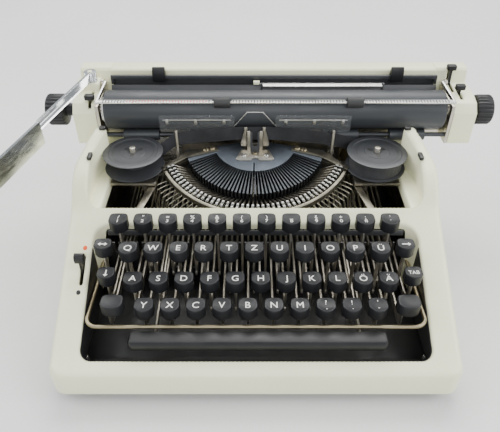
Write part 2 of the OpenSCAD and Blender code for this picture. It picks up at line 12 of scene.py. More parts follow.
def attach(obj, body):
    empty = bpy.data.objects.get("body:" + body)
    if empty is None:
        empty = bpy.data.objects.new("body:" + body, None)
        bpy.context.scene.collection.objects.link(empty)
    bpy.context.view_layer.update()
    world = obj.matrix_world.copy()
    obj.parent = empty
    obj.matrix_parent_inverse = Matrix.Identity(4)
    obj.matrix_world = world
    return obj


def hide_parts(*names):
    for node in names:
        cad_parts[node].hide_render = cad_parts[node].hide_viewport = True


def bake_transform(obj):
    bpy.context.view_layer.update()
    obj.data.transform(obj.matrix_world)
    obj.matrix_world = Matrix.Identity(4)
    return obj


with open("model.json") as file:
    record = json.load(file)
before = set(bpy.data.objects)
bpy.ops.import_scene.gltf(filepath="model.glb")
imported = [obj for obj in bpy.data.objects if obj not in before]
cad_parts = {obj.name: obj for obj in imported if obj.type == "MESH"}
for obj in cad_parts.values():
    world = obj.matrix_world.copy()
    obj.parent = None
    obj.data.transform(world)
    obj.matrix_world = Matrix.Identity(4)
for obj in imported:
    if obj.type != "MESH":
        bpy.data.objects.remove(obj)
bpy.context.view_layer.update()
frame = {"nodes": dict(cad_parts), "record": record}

MM = 0.001
ORIGIN = Vector((-13, -135, 0))          # the printing plane's axes, seen from the part's origin, in mm


def at(x, y, z):
    """A point given in mm from the printing plane, the casing's front edge and the table."""
    return (Vector((x, y, z)) + ORIGIN) * MM


# ---------------- camera, light and floor

EYE, LENS, LOOK_DOWN = (-4.4, -220.9, 360), 38.9, 39.5
SKY, SKY_STRENGTH = (0.86, 0.9, 0.95, 1), 0.70
AIM = (0, 0, 0.05)
LIGHTS = [                               # name, place, size, power, colour
    ("key", (0.1, 0.9, 1.3), (1.6, 0.7), 30, (1.0, 0.99, 0.96)),
    ("left", (-1.2, 0.1, 1.0), (0.8, 1.2), 13, (1, 1, 1)),
    ("right", (1.2, -0.3, 0.9), (0.8, 1.0), 16, (1, 1, 1)),
    ("front", (0.0, -1.2, 0.9), (1.4, 0.6), 10, (1, 1, 1)),
]


def camera():
    data = bpy.data.cameras.new("camera")
    data.sensor_width = 36
    data.lens = LENS
    data.clip_start = 0.01
    cam = bpy.data.objects.new("camera", data)
    cam.location = at(*EYE)
    cam.rotation_euler = (math.radians(90 - LOOK_DOWN), 0, 0)
    bpy.context.collection.objects.link(cam)
    bpy.context.scene.camera = cam


def area_light(name, place, size, power, colour):
    data = bpy.data.lights.new(name, "AREA")
    data.shape = "RECTANGLE"
    data.size, data.size_y = size
    data.energy = power
    data.color = colour
    light = bpy.data.objects.new(name, data)
    light.location = place
    light.rotation_euler = (Vector(AIM) - Vector(place)).to_track_quat("-Z", "Y").to_euler()
    bpy.context.collection.objects.link(light)


def studio():
    world = bpy.data.worlds.new("studio")
    world.use_nodes = True
    background = world.node_tree.nodes["Background"].inputs
    background["Color"].default_value = SKY
    background["Strength"].default_value = SKY_STRENGTH
    bpy.context.scene.world = world
    for light in LIGHTS:
        area_light(*light)
    bpy.ops.mesh.primitive_plane_add(size=6)
    floor = bpy.context.object
    floor.name = "floor"
    floor.data.materials.append(plain_floor())


# ---------------- materials

class Shader:
    """A Principled material with small helpers for its procedural inputs."""

    def __init__(self, name, colour, roughness, metallic=0.0, **sockets):
        self.material = bpy.data.materials.new(name)
        self.material.use_nodes = True
        self.tree = self.material.node_tree
        self.bsdf = self.tree.nodes["Principled BSDF"]
        self.set("Base Color", (*colour, 1))
        self.set("Roughness", roughness)
        self.set("Metallic", metallic)
        for socket, value in sockets.items():
            self.set(socket.replace("_", " "), value)
        self.coords = self.tree.nodes.new("ShaderNodeTexCoord").outputs["Object"]
        self.normal = None

    def set(self, socket, value):
        self.bsdf.inputs[socket].default_value = value

    def node(self, kind, **values):
        node = self.tree.nodes.new(kind)
        for key, value in values.items():
            if hasattr(node, key):
                setattr(node, key, value)
            else:
                node.inputs[key.replace("_", " ")].default_value = value
        return node

    def link(self, source, target):
        self.tree.links.new(source, target)

    def noise(self, scale, detail=4, roughness=0.55, stretch=None):
        node = self.node("ShaderNodeTexNoise", Scale=scale, Detail=detail, Roughness=roughness)
        if stretch:
            mapping = self.node("ShaderNodeMapping", Scale=stretch)
            self.link(self.coords, mapping.inputs["Vector"])
            self.link(mapping.outputs["Vector"], node.inputs["Vector"])
        else:
            self.link(self.coords, node.inputs["Vector"])
        return node.outputs["Fac"]

    def ramp(self, source, low, high, a, b):
        """Turns a value between low and high into one between a and b."""
        node = self.node("ShaderNodeMapRange")
        self.link(source, node.inputs["Value"])
        for socket, value in zip(("From Min", "From Max", "To Min", "To Max"), (low, high, a, b)):
            node.inputs[socket].default_value = value
        return node.outputs["Result"]

    def mix(self, factor, a, b):
        """Colour between a and b, where either may be a colour or an output."""
        node = self.node("ShaderNodeMix", data_type="RGBA")
        self.link(factor, node.inputs["Factor"])
        for socket, value in ((node.inputs[6], a), (node.inputs[7], b)):
            if isinstance(value, tuple):
                socket.default_value = (*value, 1)
            else:
                self.link(value, socket)
        return node.outputs[2]

    def colour(self, output):
        self.link(output, self.bsdf.inputs["Base Color"])

    def rough(self, output):
        self.link(output, self.bsdf.inputs["Roughness"])

    def bump(self, height, distance, strength=1.0):
        node = self.node("ShaderNodeBump", Strength=strength, Distance=distance)
        self.link(height, node.inputs["Height"])
        if self.normal:
            self.link(self.normal, node.inputs["Normal"])
        self.normal = node.outputs["Normal"]
        self.link(self.normal, self.bsdf.inputs["Normal"])


def plain_floor():
    s = Shader("floor_grey", (0.72, 0.72, 0.71), 0.7)
    s.colour(s.mix(s.ramp(s.noise(3), 0.3, 0.7, 0, 1), (0.70, 0.70, 0.69), (0.76, 0.76, 0.75)))
    return s.material


def paint(name, colour, dark, roughness=0.38, pebble=0.00006):
    """Baked enamel: faint mottling, a fine pebbled skin and grime in patches."""
    s = Shader(name, colour, roughness, Coat_Weight=0.15, Coat_Roughness=0.25)
    grime = s.ramp(s.noise(9, 6, 0.62), 0.42, 0.78, 0.0, 0.35)
    s.colour(s.mix(grime, colour, dark))
    s.rough(s.ramp(s.noise(28, 3), 0.3, 0.7, roughness - 0.06, roughness + 0.1))
    s.bump(s.noise(1500, 2, 0.5), pebble, 0.5)
    return s.material


def steel(name, colour, stain, roughness, stretch=(1, 1, 1), wear=0.5):
    """Metal with drawn-out grinding lines, stains and a little dull oxide."""
    s = Shader(name, colour, roughness, 1.0)
    spots = s.ramp(s.noise(60, 6, 0.65), 0.45, 0.75, 0.0, wear)
    s.colour(s.mix(spots, colour, stain))
    lines = s.noise(420, 3, 0.6, stretch)
    s.rough(s.ramp(lines, 0.25, 0.75, roughness - 0.08, roughness + 0.14))
    s.bump(lines, 0.00003, 0.4)
    return s.material


def plastic(name, colour, light, roughness, grain=900, depth=0.00003, coat=0.0):
    """Moulded plastic: fine grain, dust in the hollows and finger polish."""
    s = Shader(name, colour, roughness, Coat_Weight=coat, Coat_Roughness=0.12, Specular_IOR_Level=0.36)
    s.colour(s.mix(s.ramp(s.noise(70, 5, 0.6), 0.45, 0.8, 0.0, 0.5), colour, light))
    s.rough(s.ramp(s.noise(45, 3), 0.3, 0.7, roughness - 0.07, roughness + 0.1))
    s.bump(s.noise(grain, 2, 0.5), depth, 0.5)
    return s.material


def rubber_skin(name, colour, light, roughness):
    s = Shader(name, colour, roughness)
    s.colour(s.mix(s.ramp(s.noise(26, 6, 0.6, (0.25, 1, 1)), 0.4, 0.75, 0.0, 0.6), colour, light))
    s.rough(s.ramp(s.noise(140, 4, 0.6, (0.15, 1, 1)), 0.3, 0.7, roughness - 0.08, roughness + 0.12))
    s.bump(s.noise(600, 3), 0.00003, 0.5)
    return s.material


def clear_sheet():
    s = Shader("clear_sheet", (0.75, 0.78, 0.78), 0.1, Transmission_Weight=0.8, IOR=1.48, Alpha=0.2)
    s.rough(s.ramp(s.noise(60, 3), 0.35, 0.75, 0.06, 0.16))
    return s.material


def inked_cloth():
    """Plain weave, soaked in ink."""
    s = Shader("inked_cloth", (0.012, 0.012, 0.014), 0.55, Sheen_Weight=0.15)
    warp = s.node("ShaderNodeTexWave", bands_direction="Z", Scale=900.0)
    weft = s.node("ShaderNodeTexWave", bands_direction="X", Scale=900.0)
    s.link(s.coords, warp.inputs["Vector"])
    s.link(s.coords, weft.inputs["Vector"])
    weave = s.node("ShaderNodeMath", operation="MULTIPLY")
    s.link(warp.outputs["Fac"], weave.inputs[0])
    s.link(weft.outputs["Fac"], weave.inputs[1])
    s.colour(s.mix(s.ramp(s.noise(50), 0.4, 0.7, 0, 1), (0.010, 0.010, 0.012), (0.03, 0.03, 0.036)))
    s.bump(weave.outputs["Value"], 0.00008, 0.6)
    return s.material


MATERIALS = {slot: make(slot, *values) for slot, make, *values in (
    ("cream_paint", paint, (0.90, 0.90, 0.63), (0.75, 0.74, 0.46)),
    ("black_paint", paint, (0.012, 0.012, 0.012), (0.04, 0.038, 0.034), 0.42, 0.0002),
    ("slate_paint", paint, (0.036, 0.038, 0.042), (0.07, 0.072, 0.075), 0.5),
    ("foot_rubber", rubber_skin, (0.018, 0.018, 0.018), (0.05, 0.05, 0.05), 0.6),
    ("platen_rubber", rubber_skin, (0.030, 0.033, 0.038), (0.062, 0.066, 0.072), 0.42),
    ("bright_steel", steel, (0.62, 0.62, 0.60), (0.36, 0.32, 0.26), 0.26, (0.06, 1, 1)),
    ("nickel_steel", steel, (0.56, 0.53, 0.46), (0.30, 0.25, 0.17), 0.34),
    ("blued_steel", steel, (0.20, 0.225, 0.26), (0.12, 0.125, 0.13), 0.42),
    ("brass", steel, (0.36, 0.31, 0.20), (0.15, 0.12, 0.07), 0.44),
    ("chrome", steel, (0.76, 0.78, 0.78), (0.60, 0.61, 0.59), 0.17, (1, 0.1, 1), 0.12),
    ("key_plastic", plastic, (0.0075, 0.008, 0.0095), (0.024, 0.025, 0.028), 0.46),
    ("black_plastic", plastic, (0.009, 0.009, 0.010), (0.024, 0.024, 0.025), 0.4, 1400, 0.00008),
)}
MATERIALS["clear_plastic"] = clear_sheet()
MATERIALS["ribbon_cloth"] = inked_cloth()
LEGEND = plastic("legend_white", (0.78, 0.78, 0.72), (0.6, 0.6, 0.54), 0.4)
SCALE_RED = paint("scale_red", (0.55, 0.06, 0.04), (0.3, 0.05, 0.04))
MARK_ORANGE = paint("mark_orange", (0.85, 0.09, 0.008), (0.6, 0.08, 0.01))
# The fins' steel is the segment's blued steel painted far darker: painted shade of the slots between the
# typebars.
SHADED_FIN_STEEL = steel("fin_steel", (0.065, 0.07, 0.076), (0.045, 0.042, 0.038), 0.42)
RAIL_STEEL = steel("rail_steel", (0.24, 0.225, 0.18), (0.12, 0.10, 0.07), 0.42)
TYPE_STEEL = steel("type_steel", (0.27, 0.27, 0.255), (0.12, 0.11, 0.085), 0.26, wear=0.9)
WIRE_STEEL = steel("wire_steel", (0.74, 0.70, 0.56), (0.5, 0.45, 0.33), 0.3)
SLOT = {                                 # the record's material slot of each node
    part["node"]: part["material_slot"] for part in frame["record"]["subparts"]}


# ---------------- pieces

def body_of(node):
    for body, members in frame["record"]["behaviour"]["bodies"].items():
        if node in members:
            return body
    raise ValueError(node)


def give(piece, body, slot, replaces=(), look=None):
    """Rides a piece on its body, standing for the named nodes, in the slot's material or its own look."""
    piece.data.materials.clear()
    piece.data.materials.append(look or MATERIALS[slot])
    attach(piece, body)
    if replaces:
        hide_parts(*replaces)
    return piece


def mesh_piece(name, bm):
    mesh = bpy.data.meshes.new(name)
    bm.to_mesh(mesh)
    bm.free()
    piece = bpy.data.objects.new(name, mesh)
    bpy.context.collection.objects.link(piece)
    return piece


def apply_modifiers(piece):
    graph = bpy.context.evaluated_depsgraph_get()
    mesh = bpy.data.meshes.new_from_object(piece.evaluated_get(graph))
    piece.modifiers.clear()
    old = piece.data
    piece.data = mesh
    bpy.data.meshes.remove(old)


def smooth(piece, angle=35):
    for polygon in piece.data.polygons:
        polygon.use_smooth = True
    bpy.context.view_layer.objects.active = piece
    piece.select_set(True)
    bpy.ops.object.shade_smooth_by_angle(angle=math.radians(angle))
    piece.select_set(False)


def soften(piece, width, segments, angle=30):
    """Breaks the edges that turn by more than the angle, over a width in mm."""
    bevel = piece.modifiers.new("broken_edges", "BEVEL")
    bevel.width = width * MM
    bevel.segments = segments
    bevel.limit_method = "ANGLE"
    bevel.angle_limit = math.radians(angle)
    apply_modifiers(piece)
    smooth(piece)


def softened(node, width, segments, slot=None, look=None):
    """A copy of a machined part with its sharp edges broken, in place of the plain one."""
    mesh = frame["nodes"][node].data.copy()
    piece = bpy.data.objects.new(node + "_finished", mesh)
    bpy.context.collection.objects.link(piece)
    bm = bmesh.new()
    bm.from_mesh(mesh)
    bmesh.ops.remove_doubles(bm, verts=bm.verts, dist=2e-6)
    bmesh.ops.dissolve_limit(bm, angle_limit=math.radians(1), verts=bm.verts, edges=bm.edges)
    bm.to_mesh(mesh)
    bm.free()
    soften(piece, width, segments)
    give(piece, body_of(node), slot or SLOT[node], [node], look)


def finish(name, bm, body, slot, width=0.0, replaces=(), segments=2, angle=30, look=None):
    """Makes a piece of the mesh, its edges broken over a width in mm or, without one, only smoothed."""
    bmesh.ops.recalc_face_normals(bm, faces=bm.faces)
    piece = mesh_piece(name, bm)
    if width:
        soften(piece, width, segments, angle)
    else:
        smooth(piece, angle)
    return give(piece, body, slot, replaces, look)


# ---------------- shared forms

def plan(a, b, h):
    return at(a, b, h)


def sideways(a, b, h):
    return at(h, a, b)


def facing(a, b, h):
    return at(a, h, b)


TILT = math.radians(13)
BASKET_Y, BASKET_Z = 198, 125            # where the basket's axis meets the platen


def in_basket(a, b, h):
    """The type basket's own frame: across it, along it, and up its striking axis."""
    return at(a, BASKET_Y + b * math.cos(TILT) - h * math.sin(TILT),
              BASKET_Z + b * math.sin(TILT) + h * math.cos(TILT))


def stitch(bm, rings, closed=True):
    """Joins each ring of vertices to the next with quads."""
    for low, high in zip(rings, rings[1:]):
        for k in range(len(low) if closed else len(low) - 1):
            j = (k + 1) % len(low)
            bm.faces.new([low[k], low[j], high[j], high[k]])


def capped(bm, rings):
    """Stitches the rings and closes both ends."""
    stitch(bm, rings)
    bm.faces.new(list(reversed(rings[0])))
    bm.faces.new(rings[-1])


def extrude(bm, outline, low, high, place):
    """A plate over a closed outline, between two heights."""
    capped(bm, [[bm.verts.new(place(a, b, h)) for a, b in outline] for h in (low, high)])


def plates(name, body, slot, width, place, shapes, **finishing):
    """A piece made of plates, each given as (outline, low, high)."""
    bm = bmesh.new()
    for shape in shapes:
        extrude(bm, *shape, place)
    finish(name, bm, body, slot, width, **finishing)


def turned(bm, outline, place, steps=72, flutes=0, depth=0.0):
    """A lathe form through closed (radius, height) points; flutes groove its widest radius."""
    widest = max(r for r, _ in outline)
    rings = []
    for r, h in outline:
        ring = []
        for k in range(steps):
            a = 2 * math.pi * k / steps
            cut = depth * (0.5 + 0.5 * math.cos(flutes * a)) if r > widest - 1 else 0
            ring.append(bm.verts.new(place((r - cut) * math.cos(a), (r - cut) * math.sin(a), h)))
        rings.append(ring)
    stitch(bm, rings + rings[:1])


def bar_outline(p, q, w, steps=7):
    """A flat bar with round ends."""
    a = math.atan2(q[1] - p[1], q[0] - p[0])
    points = []
    for end, turn in ((q, -math.pi / 2), (p, math.pi / 2)):
        for k in range(steps):
            b = a + turn + math.pi * k / (steps - 1)
            points.append((end[0] + w / 2 * math.cos(b), end[1] + w / 2 * math.sin(b)))
    return points


def rounded_box(x, y, w, d, r, steps=4):
    points = []
    for cx, cy, start in ((1, 1, 0), (-1, 1, 90), (-1, -1, 180), (1, -1, 270)):
        for k in range(steps + 1):
            a = math.radians(start + 90 * k / steps)
            points.append((x + cx * (w / 2 - r) + r * math.cos(a), y + cy * (d / 2 - r) + r * math.sin(a)))
    return points


def rounded(corners, spacing=3.0):
    """Closed loop of points through (x, y, radius) corners, with arcs at the corners."""
    loop = []
    count = len(corners)
    for i, (x, y, r) in enumerate(corners):
        p = Vector((x, y))
        before = (Vector(corners[i - 1][:2]) - p).normalized()
        after = (Vector(corners[(i + 1) % count][:2]) - p).normalized()
        half = before.angle(after) / 2
        reach = r / math.tan(half)
        start, end = p + before * reach, p + after * reach
        middle = p + (before + after).normalized() * (r / math.sin(half))
        a0 = math.atan2(*(start - middle).yx)
        turn = (math.atan2(*(end - middle).yx) - a0 + math.pi) % (2 * math.pi) - math.pi
        steps = max(2, int(abs(turn) * r / 1.2))
        for k in range(steps + 1):
            a = a0 + turn * k / steps
            loop.append(middle + r * Vector((math.cos(a), math.sin(a))))
    dense = []
    for p, q in zip(loop, loop[1:] + loop[:1]):
        pieces = max(1, int((q - p).length / spacing))
        dense += [p.lerp(q, k / pieces) for k in range(pieces)]
    return dense


def mirror_loop(half):
    """The right half of a closed outline, given from front to back, made whole."""
    return half + [(-x, y, r) for x, y, r in reversed(half)]


def spun(points, a):
    """Points turned by the angle a about their origin."""
    c, s = math.cos(a), math.sin(a)
    return [(u * c - v * s, u * s + v * c) for u, v in points]


def smooth_path(points, spacing=1.5):
    """A curve through the points, sampled evenly enough."""
    ends = [points[0] * 2 - points[1]] + points + [points[-1] * 2 - points[-2]]
    path = []
    for p0, p1, p2, p3 in zip(ends, ends[1:], ends[2:], ends[3:]):
        steps = max(2, int((p2 - p1).length / spacing))
        for k in range(steps):
            t = k / steps
            path.append(0.5 * (2 * p1 + (p2 - p0) * t + (2 * p0 - 5 * p1 + 4 * p2 - p3) * t * t
                               + (3 * p1 - p0 - 3 * p2 + p3) * t ** 3))
    return path + [points[-1]]


def tube(bm, path, radius, sides=12):
    """A round wire through the points of path, in metres."""
    rings = []
    side = (path[1] - path[0]).orthogonal()
    for k, p in enumerate(path):
        along = (path[min(k + 1, len(path) - 1)] - path[max(k - 1, 0)]).normalized()
        side = (side - along * side.dot(along)).normalized()
        other = along.cross(side)
        rings.append([bm.verts.new(p + radius * MM * (side * math.cos(a) + other * math.sin(a)))
                      for a in (2 * math.pi * j / sides for j in range(sides))])
    capped(bm, rings)


def screw(heads, slots, place, x, y, z, r, height, turn):
    """A slotted round-head screw standing on z; its slot is a black plate, painted shade for the groove."""
    def put(a, b, h):
        return place(x + a, y + b, z + h)
    turned(heads, [(0.01, 0), (r, 0), (r, height * 0.45), (r * 0.86, height * 0.8), (r * 0.5, height),
                   (0.01, height)], put, 28)
    half, w = r * 0.92, r * 0.16
    outline = spun(((-half, -w), (half, -w), (half, w), (-half, w)), turn)
    extrude(slots, outline, height * 0.62, height * 1.02, put)


def screws(name, body, slot, places, replaces=()):
    """Screw heads with slots of painted shade, black plates for the grooves, at (x, y, z, radius, height) in
    the basket's frame.
    """
    heads, slots = bmesh.new(), bmesh.new()
    for i, sizes in enumerate(places):
        screw(heads, slots, in_basket, *sizes, 0.6 + 1.3 * i)
    finish(name, heads, body, slot, replaces=replaces, angle=40)
    # The black slots are painted shade for the screws' grooves.
    finish(name + "_slots", slots, body, "black_paint")


# ---------------- the painted casing

CASE_HALF, CASE_LEN, CASE_BASE = 149.0, 270.0, 10.0
LOWER_HALF = 148.9                       # just inside the arms' walls
LEDGE_Z = 88.0
SHEET = 1.8
EDGE_ROWS = (0.35, 1.1, 2.2, 3.6, 5.4)   # distances from an edge at which its roundness is sampled
PROFILE = [(0, 30), (12, 33.5), (59, 57), (106, 82), (119, 89), (128, 99.5), (138, 107.5),
           (166, 115.5), (182, 121), (190, 122)]


def profile(y, blur=5):
    """Height of the casing's upper edge at y, with its bends eased over a few millimetres."""
    def line(v):
        v = min(max(v, PROFILE[0][0]), PROFILE[-1][0])
        for (y0, z0), (y1, z1) in zip(PROFILE, PROFILE[1:]):
            if v <= y1:
                return z0 + (z1 - z0) * (v - y0) / (y1 - y0)
    steps = 6
    return sum(line(y + blur * k / steps) for k in range(-steps, steps + 1)) / (2 * steps + 1)


def step_up(v, low, high):
    t = min(max((v - low) / (high - low), 0), 1)
    return t * t * (3 - 2 * t)


def ease(d, r):
    """How far a rounded edge of radius r has dropped at a distance d from the edge."""
    return 0.0 if d >= r else r - math.sqrt(max(r * r - (r - d) ** 2, 0.0))


def keyboard_outline():
    return rounded(mirror_loop([(128, 12, 9), (128, 106, 13)]))


def selector_slot():
    return rounded([(-134.6, 62, 1.5), (-131.4, 62, 1.5), (-131.4, 84, 1.5), (-134.6, 84, 1.5)], 1.5)


def arms_outline():
    return rounded(mirror_loop([
        (CASE_HALF, 0, 11), (CASE_HALF, 150, 30), (143, 175, 60), (138, 190, 3.5), (127.5, 190, 3.5),
        (137, 158, 40), (135, 119, 10)]))


def lower_outline():
    return rounded(mirror_loop([(LOWER_HALF, 119.5, 0.5), (LOWER_HALF, CASE_LEN, 12)]))


def well_outline():
    return rounded(mirror_loop([(125, 119.7, 0.5), (125, 262, 8)]))


def inside(p, loop):
    """Whether a ray from p crosses the loop an odd number of times."""
    odd = False
    for a, b in zip(loop, loop[1:] + loop[:1]):
        if (a.y > p.y) != (b.y > p.y) and p.x < (b.x - a.x) * (p.y - a.y) / (b.y - a.y) + a.x:
            odd = not odd
    return odd


def loop_tree(loop):
    """A finder of the distance to a loop, from four points on each of its sides."""
    tree = KDTree(len(loop) * 4)
    for i, (p, q) in enumerate(zip(loop, loop[1:] + loop[:1])):
        for k in range(4):
            s = p.lerp(q, k / 4)
            tree.insert((s.x, s.y, 0), 4 * i + k)
    tree.balance()
    return tree


def spaced(low, high, step):
    """Values from low up to high, a step apart."""
    while low < high:
        yield low
        low += step


def skin(bm, outer, holes, height, rounds, floor_z, grid=7.0):
    """A pressed sheet: a triangulated top over the plan, eased at its edges, and its walls below.

    height(x, y) is the top, rounds(loop index, x, y) an edge's radius, floor_z(loop index, x, y)
    how far down its wall goes. Loop 0 is the outer one."""
    loops = [outer] + holes
    trees = [loop_tree(loop) for loop in loops]

    def in_sheet(p):
        return inside(p, outer) and not any(inside(p, hole) for hole in holes)

    def clear(p, margin):
        return in_sheet(p) and all(tree.find((p.x, p.y, 0))[2] > margin for tree in trees)

    points, edges = [], []
    for loop in loops:
        start = len(points)
        points += loop
        edges += [(start + i, start + (i + 1) % len(loop)) for i in range(len(loop))]
    for loop in loops:
        for offset in EDGE_ROWS:
            for a, b in zip(loop, loop[1:] + loop[:1]):
                side = Vector((a.y - b.y, b.x - a.x)).normalized() * offset
                points += [p for p in ((a + b) / 2 + side, (a + b) / 2 - side) if clear(p, offset * 0.9)]
    xs, ys = [p.x for p in outer], [p.y for p in outer]
    for x in spaced(min(xs), max(xs), grid):
        for y in spaced(min(ys), max(ys), grid):
            p = Vector((x + 0.37, y + 0.21))       # off the outline's own straight lines
            if clear(p, grid):
                points.append(p)
    verts, _, faces, _, _, _ = delaunay_2d_cdt(points, edges, [], 1, 1e-4)

    def top(v):
        z = height(v.x, v.y)
        for i, tree in enumerate(trees):
            z -= ease(tree.find((v.x, v.y, 0))[2], rounds(i, v.x, v.y))
        return z

    made = [bm.verts.new(at(v.x, v.y, top(v))) for v in verts]
    for face in faces:
        if in_sheet(sum((verts[i] for i in face), Vector((0, 0))) / len(face)):
            bm.faces.new([made[i] for i in face])
    first = 0
    for i, loop in enumerate(loops):
        ring = made[first:first + len(loop)]
        stitch(bm, [ring, [bm.verts.new(at(p.x, p.y, floor_z(i, p.x, p.y))) for p in loop]])
        first += len(loop)


def casing():
    """The shell in two skins: the sloping deck with its arms, and the ledge round the basket well."""
    bm = bmesh.new()

    def deck_edge(i, x, y):
        if i:
            return 1.6 if i == 1 else 0.3
        return 2.2 if abs(x) < 139 and y > 60 else 5.0 - 1.5 * step_up(y, 110, 150)

    def deck_floor(i, x, y):
        if i == 2:
            return profile(y) - 2.5
        if i == 1:
            return 22.6 + 54.4 * step_up(y, 102, 105.5)
        return LEDGE_Z - 2 if y > (118 if abs(x) < 147 else 124) else CASE_BASE

    def ledge_edge(i, x, y):
        return 1.2 if i else 0.01 + 4 * step_up(y, 150, 175)

    def ledge_floor(i, x, y):
        if i == 0 and (y > 121 or abs(x) > 147):
            return CASE_BASE
        return LEDGE_Z - (2 if y < 121 else 9)

    skin(bm, arms_outline(), [keyboard_outline(), selector_slot()],
         lambda x, y: profile(y), deck_edge, deck_floor)
    skin(bm, lower_outline(), [well_outline()],
         lambda x, y: LEDGE_Z, ledge_edge, ledge_floor)
    bmesh.ops.recalc_face_normals(bm, faces=bm.faces)
    piece = mesh_piece("casing_shell", bm)
    thick = piece.modifiers.new("sheet", "SOLIDIFY")
    thick.thickness = SHEET * MM
    thick.offset = -1
    apply_modifiers(piece)
    smooth(piece, 50)
    give(piece, "frame", "cream_paint", ["casing"])


# ---------------- key caps, levers and legends

PITCH = 19.05
ROWS = {                                 # y, top of the caps, x of the first key, legends
    "number": (97.5, 95, -105.9, ["1/", '2"', "3=", "4%", "5&", "6(", "7)", "8_", "9§", "0+", "ß;", "´`"]),
    "upper": (77, 84, -96.4, list("QWERTZUIOPÜ")),
    "home": (59, 70, -91.6, list("ASDFGHJKLÖÄ")),
    "lower": (41.7, 60, -82.1, list("YXCVBNM") + [",?", ".!", "-'"]),
}
CENTRE_KEY = 5
CONTROL_KEYS = {                         # x, y, top of the cap, legend
    "margin_release_key": (-115.7, 80, 85, "both"), "shift_lock_key": (-111.9, 62.5, 72, "down"),
    "backspace_key": (113.5, 80, 85, "right"), "tabulator_key": (117.9, 63, 72, "TAB")}
SHIFT_Y, SHIFT_TOP, SHIFT_CAPS, SHIFT_LEVERS = 43.1, 62, (-105.5, 112), (-108.9, 108.5)
BAR_LEVERS = (-74.95, 77.45)
CAP_W, CAP_D, CAP_H = 14.4, 14.0, 9.5
DISH_REACH = 0.43                        # radius of the finger dish, as a share of the cap's width
LEGEND_T = 0.14
AXLE, EYE_R = (228.0, 44.0), 4.6
LEVER_T = 1.5
HEAD = [(3.6, 0), (1.6, 1.7), (1.6, 0.45), (0, 0.45), (0, -0.45), (1.6, -0.45), (1.6, -1.7)]
ARROWS = {
    "both": [[(-x, y) for x, y in reversed(HEAD)], HEAD],
    "right": [HEAD, [(-3.2, -0.45), (0, -0.45), (0, 0.45), (-3.2, 0.45)]],
    "down": [[(y, -x) for x, y in reversed(HEAD)], [(-0.45, 0), (0.45, 0), (0.45, 3.0), (-0.45, 3.0)]],
}


def cap_radius(a, w, d, flat):
    """Distance from a cap's middle to its edge: square at the back, round at the front."""
    square = 4.4
    power = square - (square - flat) * step_up(-math.sin(a), -0.1, 0.55)
    c, s = abs(math.cos(a)) / (w / 2), abs(math.sin(a)) / (d / 2)
    return (c ** power + s ** power) ** (-1 / power)


def dish(x, y, w, depth=0.8):
    """How far the finger dish dips below the cap's rim."""
    return depth * max(0.0, 1 - (x * x + y * y) / (DISH_REACH * w) ** 2)


def cap_mesh(bm, x, y, top, w=CAP_W, d=CAP_D, flat=1.85, depth=0.9):
    """A moulded key cap: a flared skirt, an eased rim and a dished top."""
    steps = 48
    rim = [(0.95, -CAP_H), (0.98, -CAP_H), (0.985, -CAP_H + 0.5), (0.99, -1.2), (0.985, -0.6),
           (0.965, -0.25), (0.935, -0.06), (0.90, 0.0), (0.87, 0.0)]
    rings = []
    for scale, z in rim + [(s, None) for s in (0.8, 0.66, 0.5, 0.32, 0.15)]:
        ring = []
        for k in range(steps):
            a = 2 * math.pi * k / steps
            r = cap_radius(a, w, d, flat) * scale
            px, py = r * math.cos(a), r * math.sin(a)
            ring.append(bm.verts.new(at(x + px, y + py, top + (-dish(px, py, w, depth) if z is None else z))))
        rings.append(ring)
    capped(bm, rings)


def legend_mesh(bm, text, cap, shift, top, height, w=CAP_W, depth=0.8, squeeze=1.0):
    """Moulded-in lettering that follows the dish of the cap at cap = (x, y)."""
    data = bpy.data.curves.new("legend", "FONT")
    data.body = text
    data.size = height
    data.resolution_u = 5
    data.extrude = LEGEND_T
    holder = bpy.data.objects.new("legend", data)
    bpy.context.collection.objects.link(holder)
    bpy.context.view_layer.update()
    graph = bpy.context.evaluated_depsgraph_get()
    mesh = bpy.data.meshes.new_from_object(holder.evaluated_get(graph))
    xs = [v.co.x for v in mesh.vertices]
    middle = (min(xs) + max(xs)) / 2
    made = []
    for v in mesh.vertices:
        px = (v.co.x - middle) * squeeze + shift[0]
        py = v.co.y - 0.36 * height + shift[1]
        made.append(bm.verts.new(at(cap[0] + px, cap[1] + py, top + v.co.z - dish(px, py, w, depth))))
    for polygon in mesh.polygons:
        bm.faces.new([made[i] for i in polygon.vertices])
    bpy.data.objects.remove(holder)
    bpy.data.curves.remove(data)
    bpy.data.meshes.remove(mesh)


def key_legend(bm, text, x, y, top):
    """One letter, or a pair with the second sign above the first."""
    if len(text) == 2:
        legend_mesh(bm, text[1], (x, y), (0, 2.6), top, 5.2)
        legend_mesh(bm, text[0], (x, y), (0, -1.9), top, 5.2)
    else:
        legend_mesh(bm, text, (x, y), (0, 0.3), top, 8.0)


def finish_caps(name, caps, legends, body, replaces):
    finish(name, caps, body, "key_plastic", replaces=replaces, angle=50)
    if legends is not None:
        give(mesh_piece(name + "_legends", legends), body, "key_plastic", look=LEGEND)


def axle_eye():
    """The open ring by which a lever sits on the common axle, seen from the side."""
    return [(AXLE[0] + EYE_R * math.cos(a), AXLE[1] + EYE_R * math.sin(a))
            for a in (math.radians(d) for d in range(-110, 111, 20))]


def blanked(name, body, xs, outline):
    """Flat steel levers, one for each x."""
    shapes = [(outline, x - LEVER_T / 2, x + LEVER_T / 2) for x in xs]
    plates(name, body, "nickel_steel", 0.25, sideways, shapes)


def levers(name, body, xs, y, top):
    """Key levers with a finger bend up to the cap and an eye at the axle."""
    foot, head = 38.0, top - CAP_H + 2
    outline = [(y - 2.3, head), (y - 2.5, foot + 3), (y - 1.2, foot - 2.4), (y + 2, foot - 3.6)] + axle_eye()
    outline += [(y + 9, foot + 3.7), (y + 4.2, foot + 5.0), (y + 2.3, foot + 9), (y + 2.3, head)]
    blanked(name, body, xs, outline)


